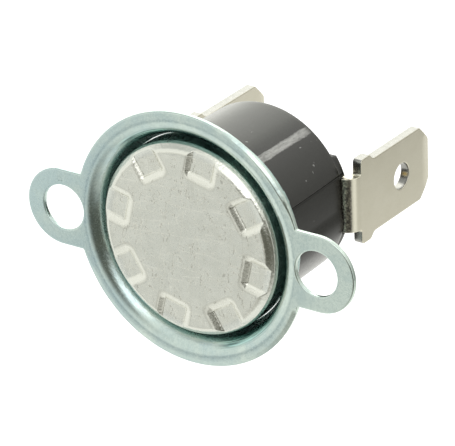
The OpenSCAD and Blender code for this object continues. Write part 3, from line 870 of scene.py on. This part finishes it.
def dress():
    zinc, face, wall = zinc_plate(), cap_face(), cap_wall()
    black, nickel, sheared = phenolic(), nickel_strip(), sheared_edge()
    brass = plain_metal("brass", (0.58, 0.40, 0.14), (0.66, 0.48, 0.20), 0.34)
    spring = plain_metal("spring_alloy", (0.60, 0.36, 0.18), (0.66, 0.42, 0.22), 0.3)
    silver = plain_metal("contact_silver", (0.66, 0.65, 0.62), (0.74, 0.73, 0.70), 0.3)
    bimetal = plain_metal("bimetal", (0.44, 0.41, 0.36), (0.52, 0.49, 0.44), 0.36)
    brown = plain_solid("guide_phenolic", (0.13, 0.07, 0.035), (0.18, 0.10, 0.05), 0.5)
    fired = plain_solid("ceramic", (0.70, 0.67, 0.60), (0.78, 0.75, 0.68), 0.4)

    sheet = bracket()
    paint(sheet, zinc)
    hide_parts("mounting_bracket")

    shell = cap()
    paint(shell, face, wall)
    for polygon in shell.data.polygons:
        c = polygon.center / MM
        polygon.material_index = 1 if c.y > 0.42 and math.hypot(c.x, c.z) > 7.9 else 0
    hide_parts("sensing_cap")

    moulding = housing()
    paint(moulding, black)
    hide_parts("base_housing")

    for name, node, *reach in (("terminal_strip_right", "terminal_right", RIGHT_BLADE_X, RIGHT_TIP, 1),
                               ("terminal_strip_left", "terminal_left", LEFT_BLADE_X, LEFT_TIP, -1)):
        strip = terminal(name, *reach)
        paint(strip, nickel, sheared)
        for polygon in strip.data.polygons:
            across = polygon.normal.y if polygon.center.y < 12.2 * MM else polygon.normal.x
            polygon.material_index = 1 if polygon.center.y > 12.6 * MM and abs(across) < 0.4 else 0
        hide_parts(node)

    for node, material in (("guide_plate", brown), ("bimetal_disc", bimetal), ("transfer_pin", fired),
                           ("contact_arm", spring), ("arm_clamped_end", spring),
                           ("moving_contact", silver), ("fixed_contact", silver),
                           ("fixed_contact_plate", brass), ("arm_anchor_plate", brass),
                           ("arm_rivet", brass), ("rivet_left", brass), ("rivet_right", brass)):
        paint(frame["nodes"][node], material)


# Camera, light and floor

def camera():
    azimuth, elevation, roll = (math.radians(v) for v in (VIEW_AZIMUTH, VIEW_ELEVATION, VIEW_ROLL))
    away = Vector((math.sin(azimuth) * math.cos(elevation), -math.cos(azimuth) * math.cos(elevation),
                   math.sin(elevation)))
    ahead = -away
    right = ahead.cross(Vector((0, 0, 1))).normalized()
    up = right.cross(ahead)
    right, up = right * math.cos(roll) + up * math.sin(roll), up * math.cos(roll) - right * math.sin(roll)
    middle = (ahead + right * ((IMAGE_W / 2 - ORIGIN_PX[0]) / FOCAL_PX)
              - up * ((IMAGE_H / 2 - ORIGIN_PX[1]) / FOCAL_PX)).normalized()
    right = (right - middle * right.dot(middle)).normalized()
    up = right.cross(middle)
    data = bpy.data.cameras.new("camera")
    data.sensor_width = SENSOR_W
    data.lens = FOCAL_PX / IMAGE_W * SENSOR_W
    data.clip_start = 0.01
    eye = bpy.data.objects.new("camera", data)
    bpy.context.scene.collection.objects.link(eye)
    turned = Matrix((right, up, -middle)).transposed().to_4x4()
    eye.matrix_world = Matrix.Translation(away * VIEW_DISTANCE * MM) @ turned
    bpy.context.scene.camera = eye


def lamp(name, place, size, power, colour=(1, 1, 1), target=(0, 0, 0)):
    data = bpy.data.lights.new(name, "AREA")
    data.shape = "RECTANGLE"
    data.size, data.size_y = size
    data.energy = power
    data.color = colour
    light = bpy.data.objects.new(name, data)
    bpy.context.scene.collection.objects.link(light)
    light.location = place
    light.rotation_euler = (Vector(target) - Vector(place)).to_track_quat("-Z", "Y").to_euler()


def stage_sheet(name, vertices, faces, material):
    mesh = bpy.data.meshes.new(name)
    mesh.from_pydata(vertices, [], faces)
    mesh.materials.append(material)
    sheet = bpy.data.objects.new(name, mesh)
    bpy.context.scene.collection.objects.link(sheet)
    return sheet


def band(n, value, start, full, fade, end):
    """One between full and fade, falling softly to nought at start and end."""
    return n.math("MULTIPLY", n.smooth(value, start, full), n.math("SUBTRACT", 1.0, n.smooth(value, fade, end)))


def surroundings():
    """What polished metal sees round the object: light panels with darker gaps between them."""
    n = Nodes("surroundings")
    x, y, z = (n.math("MULTIPLY", axis, 100 / DOME_R) for axis in n.axes())
    front = n.math("MULTIPLY", n.math("ARCTAN2", x, n.math("MULTIPLY", y, -1.0)), 180 / math.pi)
    back = n.math("MULTIPLY", n.math("ARCTAN2", x, y), 180 / math.pi)
    height = n.math("MULTIPLY", n.math("ARCSINE", n.math("MULTIPLY", z, 0.01)), 180 / math.pi)

    far = n.add("ShaderNodeVectorMath", operation="DISTANCE")
    n.set(far.inputs[0], n.place)
    n.set(far.inputs[1], tuple(c * DOME_R / 100 * MM for c in (-52, -74, -42)))
    spot = n.math("MULTIPLY", far.outputs["Value"], 100 / DOME_R / MM)
    level = n.mix(n.smooth(spot, 6, 17), (0.50, 0.54, 0.56), (1.06, 1.07, 1.03))

    patch = n.add("ShaderNodeVectorMath", operation="DISTANCE")
    n.set(patch.inputs[0], n.place)
    n.set(patch.inputs[1], tuple(c * DOME_R / 100 * MM for c in (-57, -23, 79)))
    patch = n.math("MULTIPLY", patch.outputs["Value"], 100 / DOME_R / MM)
    level = n.mix(n.smooth(patch, 58, 22), level, (0.60, 0.62, 0.60))

    right = band(n, back, 0, 12, 66, 84)
    rise = n.math("MULTIPLY_ADD", height, 1 / 90, 46 / 90, clamp=True)
    table = n.ramp(rise, (0.0, (1.4, 1.4, 1.3)), (0.22, (0.82, 0.82, 0.78)), (0.27, (0.78, 0.78, 0.74)),
                   (0.344, (0.38, 0.38, 0.35)), (0.456, (0.48, 0.48, 0.45)), (0.58, (0.62, 0.62, 0.58)),
                   (0.7, (0.85, 0.85, 0.8)), (0.8, (1.0, 1.0, 0.94)), (0.9, (1.25, 1.25, 1.2)),
                   (1.0, (1.7, 1.7, 1.6)))
    nearer = both(n, n.smooth(back, 33, 23), n.smooth(height, -8, -17))
    table = n.mix(nearer, table, (0.93, 0.93, 0.89))
    level = n.mix(both(n, right, n.smooth(height, 50, 42)), level, table)
    low = both(n, band(n, back, -75, -50, 6, 14), n.smooth(height, -20, -32))
    level = n.mix(low, level, (1.35, 1.35, 1.28))
    panel = both(n, band(n, back, -66, -54, -10, 12), band(n, height, -20, 4, 55, 68))
    level = n.mix(panel, level, (1.9, 1.92, 1.78))
    under = both(n, band(n, front, -30, -12, 62, 84), band(n, height, -62, -46, -30, -18))
    level = n.mix(under, level, (0.62, 0.62, 0.58))
    gap = both(n, band(n, front, -25, 4, 54, 86), band(n, height, -42, -30, 5, 18))
    level = n.mix(gap, level, (0.13, 0.13, 0.105))
    panel = both(n, band(n, front, -2, 10, 35, 47), band(n, height, 12, 24, 46, 55))
    level = n.mix(panel, level, (2.1, 2.1, 2.1))

    emission = n.add("ShaderNodeEmission")
    n.set(emission.inputs["Color"], level)
    n.set(n.tree.nodes["Material Output"].inputs["Surface"], emission.outputs[0])
    n.tree.nodes.remove(n.shader)
    return n.material


def dome():
    """A sphere of light panels that only reflections see."""
    vertices, faces = [], []
    rows, count = 24, 48
    for i in range(rows + 1):
        e = math.pi * (i / rows - 0.5)
        for k in range(count):
            a = 2 * math.pi * k / count
            vertices.append((DOME_R * math.cos(e) * math.cos(a) * MM, DOME_R * math.cos(e) * math.sin(a) * MM,
                             DOME_R * math.sin(e) * MM))
    for i in range(rows):
        for k in range(count):
            j = (k + 1) % count
            faces.append((i * count + k, i * count + j, (i + 1) * count + j, (i + 1) * count + k))
    sphere = stage_sheet("reflections", vertices, faces, surroundings())
    for way in ("camera", "diffuse", "transmission", "shadow", "volume_scatter"):
        setattr(sphere, "visible_" + way, False)


def studio():
    world = bpy.data.worlds.new("studio")
    bpy.context.scene.world = world
    world.use_nodes = True
    tree = world.node_tree
    background = tree.nodes["Background"]
    background.inputs["Color"].default_value = (1.0, 1.0, 1.0, 1.0)
    seen = tree.nodes.new("ShaderNodeLightPath")
    strength = tree.nodes.new("ShaderNodeMath")
    strength.operation = "MULTIPLY_ADD"
    tree.links.new(seen.outputs["Is Camera Ray"], strength.inputs[0])
    strength.inputs[1].default_value = 0.15
    strength.inputs[2].default_value = 0.85
    tree.links.new(strength.outputs[0], background.inputs["Strength"])
    lamp("key", (-0.25, 0.30, 0.55), (0.4, 0.4), 3.0)

    n = Nodes("floor")
    n.surface(Base_Color=(0.9, 0.9, 0.9), Roughness=0.9, Specular_IOR_Level=0.0)
    path = n.add("ShaderNodeLightPath")
    n.set(n.shader.inputs["Emission Color"], (1.0, 1.0, 1.0))
    n.set(n.shader.inputs["Emission Strength"], n.math("MULTIPLY", path.outputs["Is Camera Ray"], 0.25))
    reach, depth = 2.0, FLOOR_Z * MM
    floor = stage_sheet("floor", [(-reach, -reach, depth), (reach, -reach, depth), (reach, reach, depth),
                                  (-reach, reach, depth)], [(0, 1, 2, 3)], n.material)
    floor.visible_glossy = False
    dome()


dress()
camera()
studio()
bpy.context.scene.view_settings.view_transform = "Standard"
